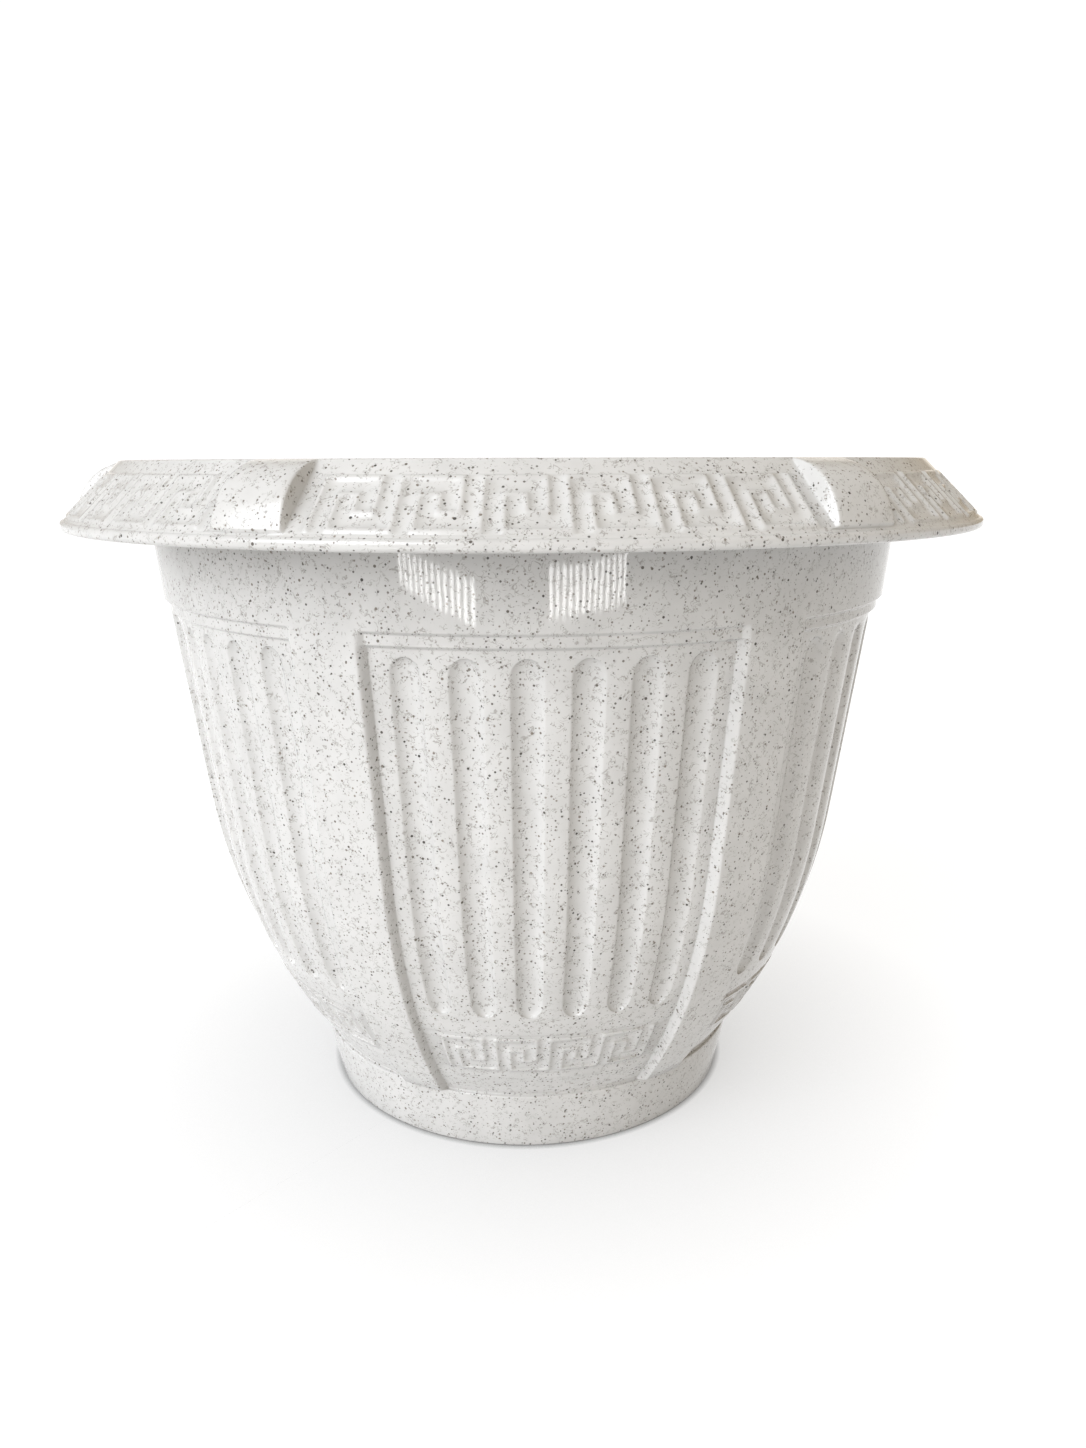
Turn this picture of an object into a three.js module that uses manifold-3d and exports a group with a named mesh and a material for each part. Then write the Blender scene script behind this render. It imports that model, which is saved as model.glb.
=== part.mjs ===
// Urn planter: a moulded shell, a lift-out drainage grid and push-in drain plugs.
// Millimetres, +Z up. The origin is the centre of the face that the planter stands on.
// Angles are measured round +Z from -Y, which is the middle of the first panel.
import * as THREE from 'three';
import { mergeVertices } from 'three/addons/utils/BufferGeometryUtils.js';
import Module from 'manifold-3d';

const wasm = await Module();
wasm.setup();

// ---------- Driving sizes ----------

// The whole
const overallHeight = 294;
const wall = 3; // moulded wall of the rim, neck, foot and floor
const pieceGap = 0.3; // left between pieces that touch
const panelCount = 6;
const sidesPerPanel = 12; // flats of the round surfaces in each panel's share

// Rim: a flat land round the mouth, a sloping skirt and a rolled lip
const landWidth = 10.6;
const skirtRun = 23.5;
const skirtDrop = 23.5;
const lipProud = 1.5;
const lipHeight = 4;
const lipEdge = 1.1; // rounding of the lip, above and below

// Raised piers across the skirt, in line with the body's piers
const rimPierAngle = 8.2;
const rimPierBulge = 6.5;
const rimPierDraft = 0.25; // how much each side leans in, in degrees
const rimPierEndGap = 0.012; // skirt left plain at a pier's ends, as a share of its slope
const rimPierHollowGap = 0.16; // skirt left solid behind a pier's ends, as a share likewise

// Neck
const neckTopRadius = 168.4;
const neckBottomRadius = 162.8;
const neckLength = 54; // rim's underside down to the panels' top edge

// Bowl, measured on the panels' floors
const bowlTopRadius = 158.4;
const bowlTaper = 7.6; // degrees from upright, down to where the bowl starts to round in
const bowlTaperLength = 92;
const bowlBaseRadius = 100.4;
const panelRecess = 4.4; // depth of the panels' floors below the piers

// Panels between the piers
const pierAngle = 9.6;
const panelSideAngle = 1.7; // sloping side of a panel
const panelStepHeight = 5; // between the two steps at a panel's top
const panelStepDraft = 0.9;

// Flutes in each panel
const fluteCount = 6;
const flutePitchAngle = 7.8;
const fluteAngle = 4.4;
const fluteDepth = 2.2;
const fluteTopGap = 3.2; // from the panel's second step
const fluteBottomHeight = 79; // above the ground
const fluteEndLength = 7;
const fluteWall = 2; // left behind a flute
const fluteFlats = 4; // across a flute's hollow

// Foot
const footHeight = 27.5;
const footTopRadius = 102.2;
const footBottomRadius = 96.8;
const footEdge = 1.2;
const pierFootSlope = 1.2; // the piers' lower ends rise this much over the foot
const floorHeight = 10; // underside of the floor above the ground

// Drainage grid on its seat inside the bowl
const seatHeight = 32;
const seatWidth = 4;
const gridThickness = 3;
const gridRimHeight = 2.5;
const gridRimWidth = 3;
const gripHoleRadius = 14;
const gripCollarWidth = 4;
const slotRings = 3;
const slotsPerRing = 12;
const slotWidth = 3.6;
const slotBridge = 7; // material between two slots of a ring
const gridSides = 48;

// Drain plugs in the floor
const plugRingRadius = 62;
const plugHoleRadius = 6;
const plugFlangeRadius = 9.5;
const plugFlangeThickness = 2;
const plugKnobRadius = 4.2;
const plugKnobHeight = 3;
const plugNeckRadius = 2.8;
const plugNeckHeight = 1.8;
const plugReach = 2; // below the floor
const plugTaper = 0.8;
const plugSides = 16;

// ---------- Materials ----------

const graniteWhite = new THREE.MeshStandardMaterial({ color: 0xe4e3df, roughness: 0.22, metalness: 0 });
const charcoal = new THREE.MeshStandardMaterial({ color: 0x3a3b3c, roughness: 0.5, metalness: 0 });
const greyRubber = new THREE.MeshStandardMaterial({ color: 0x55575a, roughness: 0.75, metalness: 0 });

// ---------- Geometry helpers ----------

const degrees = Math.PI / 180;
const panelPitch = 360 / panelCount;
const roundSides = panelCount * sidesPerPanel;

function polar(angle, radius, height) {
  const turn = angle * degrees;
  return new THREE.Vector3(radius * Math.sin(turn), -radius * Math.cos(turn), height);
}

// Numbers from first to last in equal steps.
function spread(first, last, steps) {
  return Array.from({ length: steps + 1 }, (_, i) => first + ((last - first) * i) / steps);
}

// A closed body for joining and cutting, from a geometry's triangles.
function bodyOf(geometry) {
  const plain = geometry.clone();
  plain.deleteAttribute('normal');
  plain.deleteAttribute('uv');
  const merged = mergeVertices(plain, 1e-4);
  const corners = merged.index.array;
  const triangles = [];
  for (let i = 0; i < corners.length; i += 3) {
    const [a, b, c] = corners.slice(i, i + 3);
    if (a !== b && b !== c && c !== a) triangles.push(a, b, c);
  }
  return new wasm.Manifold(new wasm.Mesh({
    numProp: 3,
    vertProperties: new Float32Array(merged.attributes.position.array),
    triVerts: new Uint32Array(triangles),
  }));
}

function geometryOf(body) {
  const { vertProperties, triVerts } = body.getMesh();
  const geometry = new THREE.BufferGeometry();
  geometry.setAttribute('position', new THREE.BufferAttribute(vertProperties, 3));
  geometry.setIndex(new THREE.BufferAttribute(triVerts, 1));
  geometry.computeVertexNormals();
  return geometry;
}

// A solid of revolution about +Z. The outline runs [radius, height], counter-clockwise, and
// its first facet starts at the given angle.
function turned(outline, sides, startAngle = 0) {
  const points = outline.map(([radius, height]) => new THREE.Vector2(radius, height));
  return new THREE.LatheGeometry(points, sides, startAngle * degrees).rotateX(Math.PI / 2);
}

// A closed block between two grids of points. Rows run upwards, columns by rising angle,
// and the outer grid lies further from the axis than the inner one.
function blockBetween(inner, outer) {
  const rows = inner.length;
  const columns = inner[0].length;
  const points = [...inner.flat(), ...outer.flat()];
  const index = [];
  const at = (layer, row, column) => (layer * rows + row) * columns + column;
  const quad = (a, b, c, d) => index.push(a, b, c, a, c, d);
  for (let row = 0; row < rows - 1; row += 1) {
    for (let column = 0; column < columns - 1; column += 1) {
      const corners = [[row, column], [row, column + 1], [row + 1, column + 1], [row + 1, column]];
      quad(...corners.map(([r, c]) => at(1, r, c)));
      quad(...corners.reverse().map(([r, c]) => at(0, r, c)));
    }
    const last = columns - 1;
    quad(at(0, row, 0), at(1, row, 0), at(1, row + 1, 0), at(0, row + 1, 0));
    quad(at(1, row, last), at(0, row, last), at(0, row + 1, last), at(1, row + 1, last));
  }
  for (let column = 0; column < columns - 1; column += 1) {
    const top = rows - 1;
    quad(at(0, 0, column), at(0, 0, column + 1), at(1, 0, column + 1), at(1, 0, column));
    quad(at(0, top, column + 1), at(0, top, column), at(1, top, column), at(1, top, column + 1));
  }
  const geometry = new THREE.BufferGeometry().setFromPoints(points);
  geometry.setIndex(index);
  return geometry;
}

function turnedBy(geometry, angle) {
  return geometry.clone().rotateZ(angle * degrees);
}

// ---------- Shared profile of the shell ----------

const rimUnderside = overallHeight - wall;
const panelTopHeight = rimUnderside - neckLength;
const bowlTopHeight = panelTopHeight - panelStepHeight;
const bowlBendHeight = bowlTopHeight - bowlTaperLength;
const landRadius = neckTopRadius - wall + landWidth;
const skirtRadius = landRadius + skirtRun;
const lipRadius = skirtRadius + lipProud;
const lipTop = overallHeight - skirtDrop;
const lipBottom = lipTop - lipHeight;
const floorTop = floorHeight + wall;

// The bowl tapers straight, then rounds in on an arc that starts in line with the taper.
const taperSlope = Math.tan(bowlTaper * degrees);
const bendRadius = bowlTopRadius - bowlTaperLength * taperSlope;
const bendAcross = bendRadius - bowlBaseRadius;
const bendDown = bowlBendHeight - footHeight;
const taperCos = Math.cos(bowlTaper * degrees);
const taperSin = Math.sin(bowlTaper * degrees);
const arcRadius = (bendAcross ** 2 + bendDown ** 2) / (2 * (bendAcross * taperCos - bendDown * taperSin));
const arcCentreRadius = bendRadius - arcRadius * taperCos;
const arcCentreHeight = bowlBendHeight + arcRadius * taperSin;

function bowlRadius(height) {
  if (height >= bowlBendHeight) return bendRadius + (height - bowlBendHeight) * taperSlope;
  return arcCentreRadius + Math.sqrt(arcRadius ** 2 - (height - arcCentreHeight) ** 2);
}

function neckRadius(height) {
  const share = (rimUnderside - height) / neckLength;
  return neckTopRadius + (neckBottomRadius - neckTopRadius) * share;
}

const pierRadius = (height) => bowlRadius(height) + panelRecess;
const bowlInside = (height) => bowlRadius(height) - fluteDepth - fluteWall;

function footRadius(height) {
  return footBottomRadius + ((footTopRadius - footBottomRadius) * height) / footHeight;
}

// Heights at which the bowl's facets break, closer together where it rounds in.
const bendHeights = spread(0, 1, 6).map((s) => footHeight + bendDown * s);
const bowlHeights = [...bendHeights, (bowlBendHeight + bowlTopHeight) / 2];

// ---------- Shell ----------

function shellOutline() {
  const skirtLength = Math.hypot(skirtRun, skirtDrop);
  const underRun = (wall * skirtDrop) / skirtLength; // the skirt's wall, measured square to it
  const underDrop = (wall * skirtRun) / skirtLength;
  const underTopRadius = landRadius - underRun + ((wall - underDrop) * skirtRun) / skirtDrop;
  const underLipRadius = skirtRadius - underRun;
  const pierFoot = footHeight + pierFootSlope;
  const outsideHeights = bowlHeights.slice(1);
  const aboveSeat = bowlHeights.filter((z) => z > seatHeight + panelStepHeight);
  const insideHeights = [...aboveSeat, bowlTopHeight].reverse();
  const seatInside = bowlInside(seatHeight) - seatWidth;
  const shoulderHeight = panelTopHeight + panelStepHeight;
  return [
    [0, floorHeight],
    [footBottomRadius - wall, floorHeight],
    [footBottomRadius - wall, 0],
    [footBottomRadius - footEdge, 0],
    [footRadius(footEdge), footEdge],
    [footTopRadius, footHeight],
    [pierRadius(pierFoot), pierFoot],
    ...outsideHeights.map((z) => [pierRadius(z), z]),
    [neckBottomRadius, panelTopHeight],
    [neckTopRadius, rimUnderside],
    [underTopRadius, rimUnderside],
    [underLipRadius, lipTop - underDrop],
    [underLipRadius, lipBottom],
    [lipRadius - lipEdge, lipBottom],
    [lipRadius, lipBottom + lipEdge],
    [lipRadius, lipTop - lipEdge],
    [skirtRadius, lipTop],
    [landRadius, overallHeight],
    [neckTopRadius - wall, overallHeight],
    [neckRadius(shoulderHeight) - wall, shoulderHeight],
    ...insideHeights.map((z) => [bowlInside(z), z]),
    [bowlInside(seatHeight), seatHeight],
    [seatInside, seatHeight],
    [Math.min(seatInside, footRadius(floorTop) - wall), floorTop],
    [0, floorTop],
  ];
}

// Points across one row of a panel's floor, as angle and share of the flutes' depth.
// Fullness is 1 along the flutes, less in their rounded ends and 0 beyond their tips.
function floorColumns(fullness) {
  const columns = [];
  for (let j = 0; j < fluteCount; j += 1) {
    const middle = (j - (fluteCount - 1) / 2) * flutePitchAngle;
    for (const u of spread(-1, 1, fluteFlats)) {
      columns.push([middle + (u * fullness * fluteAngle) / 2, fullness * (1 - u * u)]);
    }
  }
  return columns;
}

// Rows of a panel's floor from the foot up, as height and the flutes' fullness there.
function floorRows() {
  const top = bowlTopHeight - panelStepDraft - fluteTopGap;
  const bottom = fluteBottomHeight;
  const places = [1, 0.7, 0]; // along a rounded end, 1 at its tip
  const rise = (s) => fluteEndLength * (1 - s);
  const fullness = (s) => Math.sqrt(1 - s * s);
  const between = (low, high) => bowlHeights.filter((z) => z > low && z < high);
  return [
    ...between(0, bottom).map((z) => [z, 0]),
    ...places.map((s) => [bottom + rise(s), fullness(s)]),
    ...between(bottom + fluteEndLength, top - fluteEndLength).map((z) => [z, 1]),
    ...places.map((s) => [top - rise(s), fullness(s)]).reverse(),
    [bowlTopHeight - panelStepDraft, 0],
  ];
}

// What is cut away between two piers: a fluted floor, sloping sides and two steps at the top.
function panelCutter() {
  const halfAngle = (panelPitch - pierAngle) / 2;
  const floorHalf = halfAngle - panelSideAngle;
  const overrun = 0.35; // carries the sides past the piers' surface, as a share of the recess
  const edge = halfAngle + overrun * panelSideAngle;
  const clear = panelRecess * overrun;
  const farRadius = neckTopRadius + landWidth;
  const stepDraft = ((neckTopRadius - neckBottomRadius) * panelStepHeight) / neckLength;
  const stepRadius = neckBottomRadius - panelRecess / 2;
  const rows = [
    ...floorRows().map(([height, fullness]) => [height, bowlRadius(height), fullness]),
    [bowlTopHeight, stepRadius - stepDraft, 0],
    [panelTopHeight - panelStepDraft, stepRadius, 0],
    [panelTopHeight + panelStepDraft * overrun, neckBottomRadius + clear, 0],
  ];
  const inner = rows.map(([height, radius, fullness]) => {
    const sideRadius = Math.max(radius, bowlRadius(height) + panelRecess + clear);
    return [
      polar(-edge, sideRadius, height),
      polar(-floorHalf, radius, height),
      ...floorColumns(fullness).map(([angle, depth]) => polar(angle, radius - fluteDepth * depth, height)),
      polar(floorHalf, radius, height),
      polar(edge, sideRadius, height),
    ];
  });
  const outer = inner.map((row) => row.map((point) => {
    const reach = farRadius / Math.hypot(point.x, point.y);
    return new THREE.Vector3(point.x * reach, point.y * reach, point.z);
  }));
  return blockBetween(inner, outer);
}

// A point square to the skirt: a share along it from the lip to the land, and out from it.
function skirtPoint(angle, along, out) {
  const length = Math.hypot(skirtRun, skirtDrop);
  const radius = skirtRadius - skirtRun * along + (out * skirtDrop) / length;
  const height = lipTop + skirtDrop * along + (out * skirtRun) / length;
  return polar(angle, radius, height);
}

// How full a rim pier's swelling is along the skirt: 0 at the lip and the land, 1 halfway.
const rimPierSwell = (along) => 4 * along * (1 - along);

// A pier that swells out of the skirt between the lip and the land. Its back lies within
// the skirt's wall, and its ends run in just below the skirt's surface.
function rimPier() {
  const half = rimPierAngle / 2;
  const backDepth = (wall * 2) / 3;
  const endDepth = wall / 12;
  const places = spread(rimPierEndGap, 1 - rimPierEndGap, 6);
  const columns = spread(-1, 1, 4);
  const back = places.map((s) => columns.map((u) => skirtPoint(u * half, s, -backDepth)));
  const front = places.map((s) => columns.map((u) => {
    const angle = u * (half - rimPierDraft * rimPierSwell(s));
    return skirtPoint(angle, s, rimPierBulge * rimPierSwell(s) - endDepth);
  }));
  return blockBetween(back, front);
}

// The hollow behind a rim pier, which keeps its wall even. It starts below the skirt.
function rimPierHollow() {
  const half = rimPierAngle / 2 - (wall / skirtRadius) / degrees;
  const startDepth = wall * 1.4;
  const places = spread(rimPierHollowGap, 1 - rimPierHollowGap, 4);
  const columns = [-half, half];
  const near = places.map((s) => columns.map((a) => skirtPoint(a, s, -startDepth)));
  const far = places.map((s) => columns.map((a) => (
    skirtPoint(a, s, rimPierBulge * rimPierSwell(s) - wall)
  )));
  return blockBetween(near, far);
}

// The channel on the inside behind a body pier, which keeps its wall even.
function pierChannel() {
  const half = pierAngle / 2 - (wall / bowlTopRadius) / degrees;
  const bottom = seatHeight + gridThickness + gridRimHeight + panelStepHeight;
  const heights = [bottom, ...bowlHeights.filter((z) => z > bottom + panelStepHeight), bowlTopHeight];
  const columns = [-half, half];
  const channelDepth = panelRecess + fluteDepth + fluteWall - wall;
  const inner = heights.map((z) => columns.map((a) => polar(a, bowlInside(z) - wall, z)));
  const outer = heights.map((z, i) => columns.map((a) => (
    polar(a, bowlInside(z) + (i === 0 ? 0 : channelDepth), z)
  )));
  return blockBetween(inner, outer);
}

function plugHole() {
  const overrun = wall;
  const outline = [
    [0, floorHeight - overrun],
    [plugHoleRadius, floorHeight - overrun],
    [plugHoleRadius, floorTop + overrun],
    [0, floorTop + overrun],
  ];
  return turned(outline, plugSides).translate(0, -plugRingRadius, 0);
}

function shellBody() {
  const halfFacet = 180 / roundSides; // puts the middle of a facet on each panel's middle
  let shell = bodyOf(turned(shellOutline(), roundSides, halfFacet));
  const panel = panelCutter();
  const pier = rimPier();
  const hollow = rimPierHollow();
  const channel = pierChannel();
  const hole = plugHole();
  for (let i = 0; i < panelCount; i += 1) {
    const panelMiddle = i * panelPitch;
    const pierMiddle = panelMiddle + panelPitch / 2;
    shell = shell.subtract(bodyOf(turnedBy(panel, panelMiddle)));
    shell = shell.add(bodyOf(turnedBy(pier, pierMiddle)));
    shell = shell.subtract(bodyOf(turnedBy(hollow, pierMiddle)));
    shell = shell.subtract(bodyOf(turnedBy(channel, pierMiddle)));
    shell = shell.subtract(bodyOf(turnedBy(hole, panelMiddle)));
  }
  return shell;
}

// ---------- Drainage grid ----------

function gridBody() {
  const radius = bowlInside(seatHeight) - 2 * pieceGap;
  const bottom = seatHeight + pieceGap;
  const top = bottom + gridThickness;
  const rimTop = top + gridRimHeight;
  const collar = gripHoleRadius + gripCollarWidth;
  let grid = bodyOf(turned([
    [gripHoleRadius, bottom],
    [radius, bottom],
    [radius, rimTop],
    [radius - gridRimWidth, rimTop],
    [radius - gridRimWidth, top],
    [collar, top],
    [collar, rimTop],
    [gripHoleRadius, rimTop],
    [gripHoleRadius, bottom],
  ], gridSides));
  const pitch = (radius - gridRimWidth - collar) / (slotRings + 0.5); // a quarter is left at each edge
  const through = [bottom - gridThickness, top + gridThickness];
  for (let ring = 0; ring < slotRings; ring += 1) {
    const middle = collar + pitch * (ring + 0.75);
    const half = (180 / slotsPerRing) - (slotBridge / 2 / middle) / degrees;
    const columns = spread(-half, half, 2 + ring);
    const cutter = blockBetween(
      through.map((z) => columns.map((a) => polar(a, middle - slotWidth / 2, z))),
      through.map((z) => columns.map((a) => polar(a, middle + slotWidth / 2, z))),
    );
    for (let i = 0; i < slotsPerRing; i += 1) {
      const turn = ((i + (ring % 2) / 2) * 360) / slotsPerRing;
      grid = grid.subtract(bodyOf(turnedBy(cutter, turn)));
    }
  }
  return grid;
}

// ---------- Drain plug ----------

function plugGeometry() {
  const shank = plugHoleRadius - pieceGap;
  const flangeBottom = floorTop + pieceGap;
  const flangeTop = flangeBottom + plugFlangeThickness;
  const neckTop = flangeTop + plugNeckHeight;
  const knobTop = neckTop + plugKnobHeight;
  return turned([
    [0, floorHeight - plugReach],
    [shank - plugTaper, floorHeight - plugReach],
    [shank, floorHeight],
    [shank, flangeBottom],
    [plugFlangeRadius, flangeBottom],
    [plugFlangeRadius, flangeTop],
    [plugNeckRadius, flangeTop],
    [plugNeckRadius, neckTop],
    [plugKnobRadius, neckTop],
    [plugKnobRadius, knobTop],
    [0, knobTop],
  ], plugSides);
}

// ---------- Assembly ----------

const planter = new THREE.Group();

function addPiece(name, geometry, material) {
  const mesh = new THREE.Mesh(geometry, material);
  mesh.name = name;
  planter.add(mesh);
  return mesh;
}

addPiece('planter_shell', geometryOf(shellBody()), graniteWhite);
addPiece('drainage_grid', geometryOf(gridBody()), charcoal);

const plug = geometryOf(bodyOf(plugGeometry()));
for (let i = 0; i < panelCount; i += 1) {
  const piece = addPiece(`drain_plug_${i + 1}`, plug, greyRubber);
  const turn = i * panelPitch;
  piece.position.copy(polar(turn, plugRingRadius, 0));
  piece.rotation.z = turn * degrees;
}

export default planter;
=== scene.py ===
"""Urn planter: a glossy speckled moulding with a skirt rim, fluted panels and key friezes.

Shapes are worked out in millimetres and degrees, and turned into metres as meshes are made.
Materials and their patterns are in metres.
Angles are measured round +Z from -Y, which is the middle of the first panel.
"""
import math

import bpy
import numpy as np
from mathutils import Matrix, Vector
from mathutils.geometry import delaunay_2d_cdt


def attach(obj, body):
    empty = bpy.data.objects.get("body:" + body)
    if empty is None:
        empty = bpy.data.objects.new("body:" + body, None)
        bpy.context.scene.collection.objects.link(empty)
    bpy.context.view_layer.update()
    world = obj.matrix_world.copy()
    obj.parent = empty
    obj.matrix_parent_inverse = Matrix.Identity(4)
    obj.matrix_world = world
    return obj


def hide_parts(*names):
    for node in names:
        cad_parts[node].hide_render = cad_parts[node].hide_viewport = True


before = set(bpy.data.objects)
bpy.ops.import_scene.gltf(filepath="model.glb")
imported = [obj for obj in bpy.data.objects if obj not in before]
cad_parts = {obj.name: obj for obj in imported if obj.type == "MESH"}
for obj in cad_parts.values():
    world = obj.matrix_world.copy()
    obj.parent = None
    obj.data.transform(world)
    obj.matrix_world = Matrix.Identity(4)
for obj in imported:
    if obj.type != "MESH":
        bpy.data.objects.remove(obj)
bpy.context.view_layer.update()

MM = 0.001

# ---------- Sizes shared with the solid model ----------

OVERALL_HEIGHT = 294
WALL = 3
PIECE_GAP = 0.3
PANELS = 6

LAND_WIDTH = 10.6
SKIRT_RUN = 23.5
SKIRT_DROP = 23.5
LIP_PROUD = 1.2
LIP_HEIGHT = 4
RIM_PIER_ANGLE = 8.2
RIM_PIER_BULGE = 6.3

NECK_TOP_RADIUS = 168.4
NECK_BOTTOM_RADIUS = 162.8
NECK_LENGTH = 54

BOWL_TOP_RADIUS = 158.4
BOWL_TAPER = 7.6
BOWL_TAPER_LENGTH = 92
BOWL_BASE_RADIUS = 100.4
PANEL_RECESS = 4.4
PIER_ANGLE = 9.6
PANEL_STEP_HEIGHT = 5

FLUTES = 6
FLUTE_PITCH = 7.8
FLUTE_ANGLE = 4.4
FLUTE_DEPTH = 2.2
FLUTE_TOP = 227.9
FLUTE_BOTTOM = 79
FLUTE_END = 7
FLUTE_WALL = 2

FOOT_HEIGHT = 27.5
FOOT_TOP_RADIUS = 102.2
FOOT_BOTTOM_RADIUS = 96.8
PIER_FOOT_SLOPE = 1.2
FLOOR_HEIGHT = 10

SEAT_HEIGHT = 32
SEAT_WIDTH = 4
GRID_THICKNESS = 3
GRID_RIM_HEIGHT = 2.5
GRID_RIM_WIDTH = 3
GRIP_HOLE_RADIUS = 14
GRIP_COLLAR_WIDTH = 4
SLOT_RINGS = 3
SLOTS_PER_RING = 12
SLOT_WIDTH = 3.6
SLOT_BRIDGE = 7

PLUG_RING_RADIUS = 62
PLUG_HOLE_RADIUS = 6
PLUG_FLANGE_RADIUS = 9.5
PLUG_FLANGE_THICKNESS = 2
PLUG_KNOB_RADIUS = 4.2
PLUG_KNOB_HEIGHT = 3
PLUG_NECK_RADIUS = 2.8
PLUG_NECK_HEIGHT = 1.8
PLUG_REACH = 2
PLUG_TAPER = 0.8

# ---------- Derived places ----------

SECTOR = 360 / PANELS
RIM_UNDERSIDE = OVERALL_HEIGHT - WALL
PANEL_TOP = RIM_UNDERSIDE - NECK_LENGTH
BOWL_TOP = PANEL_TOP - PANEL_STEP_HEIGHT
BOWL_BEND = BOWL_TOP - BOWL_TAPER_LENGTH
LAND_RADIUS = NECK_TOP_RADIUS - WALL + LAND_WIDTH
SKIRT_RADIUS = LAND_RADIUS + SKIRT_RUN
SKIRT_LENGTH = math.hypot(SKIRT_RUN, SKIRT_DROP)
LIP_RADIUS = SKIRT_RADIUS + LIP_PROUD
LIP_TOP = OVERALL_HEIGHT - SKIRT_DROP
LIP_BOTTOM = LIP_TOP - LIP_HEIGHT
FLOOR_TOP = FLOOR_HEIGHT + WALL
PANEL_HALF = (SECTOR - PIER_ANGLE) / 2
RIM_PIER_FOOT = (SECTOR - RIM_PIER_ANGLE) / 2

TAPER_SLOPE = math.tan(math.radians(BOWL_TAPER))
BEND_RADIUS = BOWL_TOP_RADIUS - BOWL_TAPER_LENGTH * TAPER_SLOPE
BEND_ACROSS = BEND_RADIUS - BOWL_BASE_RADIUS
BEND_DOWN = BOWL_BEND - FOOT_HEIGHT
TAPER_COS = math.cos(math.radians(BOWL_TAPER))
TAPER_SIN = math.sin(math.radians(BOWL_TAPER))
ARC_RADIUS = (BEND_ACROSS**2 + BEND_DOWN**2) / (2 * (BEND_ACROSS * TAPER_COS - BEND_DOWN * TAPER_SIN))
ARC_CENTRE_RADIUS = BEND_RADIUS - ARC_RADIUS * TAPER_COS
ARC_CENTRE_HEIGHT = BOWL_BEND + ARC_RADIUS * TAPER_SIN


def bowl_radius(height):
    """Radius of the panels' floors, straight above the bend and an arc below it."""
    if height >= BOWL_BEND:
        return BEND_RADIUS + (height - BOWL_BEND) * TAPER_SLOPE
    return ARC_CENTRE_RADIUS + math.sqrt(ARC_RADIUS**2 - (height - ARC_CENTRE_HEIGHT) ** 2)


def neck_radius(height):
    share = (RIM_UNDERSIDE - height) / NECK_LENGTH
    return NECK_TOP_RADIUS + (NECK_BOTTOM_RADIUS - NECK_TOP_RADIUS) * share


def outer_radius(height):
    """Radius of the piers and the neck, which run into each other above the panels."""
    if height >= PANEL_TOP:
        return neck_radius(height)
    return min(bowl_radius(height) + PANEL_RECESS, NECK_BOTTOM_RADIUS)


def foot_radius(height):
    return FOOT_BOTTOM_RADIUS + (FOOT_TOP_RADIUS - FOOT_BOTTOM_RADIUS) * height / FOOT_HEIGHT


def bowl_inside(height):
    return bowl_radius(height) - FLUTE_DEPTH - FLUTE_WALL


# ---------- Shape helpers ----------

CREASE_ANGLE = 60  # faces that meet at more than this are shaded as a crease
TRIANGLES_INSIDE = 1  # the triangulation's way that leaves out what is beyond the outer loop
SAME_POINT = 1e-5  # points that are nearer than this count as one


def spread(first, last, steps):
    """Evenly spaced values from the first to the last, with both of them."""
    return [first + (last - first) * i / steps for i in range(steps + 1)]


def soft_ramp(x, soft, soft_top=None):
    """0 below 0, 1 above 1 and straight between, with its corners rounded over +-soft."""
    x = np.asarray(x, float)
    soft_top = soft_top or soft
    low = np.where(x < soft, np.clip(x + soft, 0, None) ** 2 / (4 * soft), x)
    high = 1 - np.clip(1 + soft_top - x, 0, None) ** 2 / (4 * soft_top)
    return np.where(x > 1 - soft_top, high, low)


def rounded(outline, steps=4):
    """Points along an outline of (radius, height, rounding) corners, its ends kept as they are."""
    points = [outline[0][:2]]
    for before, corner, after in zip(outline, outline[1:], outline[2:]):
        points += corner_arc(before[:2], corner[:2], after[:2], corner[2], steps)
    return points + [outline[-1][:2]]


def corner_arc(before, corner, after, rounding, steps):
    """Points of a fillet at a corner, or the corner alone where it has no rounding."""
    if rounding == 0:
        return [tuple(corner)]
    here = Vector(corner)
    back = (Vector(before) - here).normalized()
    ahead = (Vector(after) - here).normalized()
    half = back.angle(ahead) / 2
    inward = (back + ahead).normalized()
    centre = here + inward * (rounding / math.sin(half))
    start = here + back * (rounding / math.tan(half)) - centre
    end = here + ahead * (rounding / math.tan(half)) - centre
    turn = math.pi - 2 * half
    points = []
    for i in range(steps + 1):
        share = i / steps
        weight_start = math.sin((1 - share) * turn) / math.sin(turn)
        weight_end = math.sin(share * turn) / math.sin(turn)
        points.append(tuple(centre + start * weight_start + end * weight_end))
    return points


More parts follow.
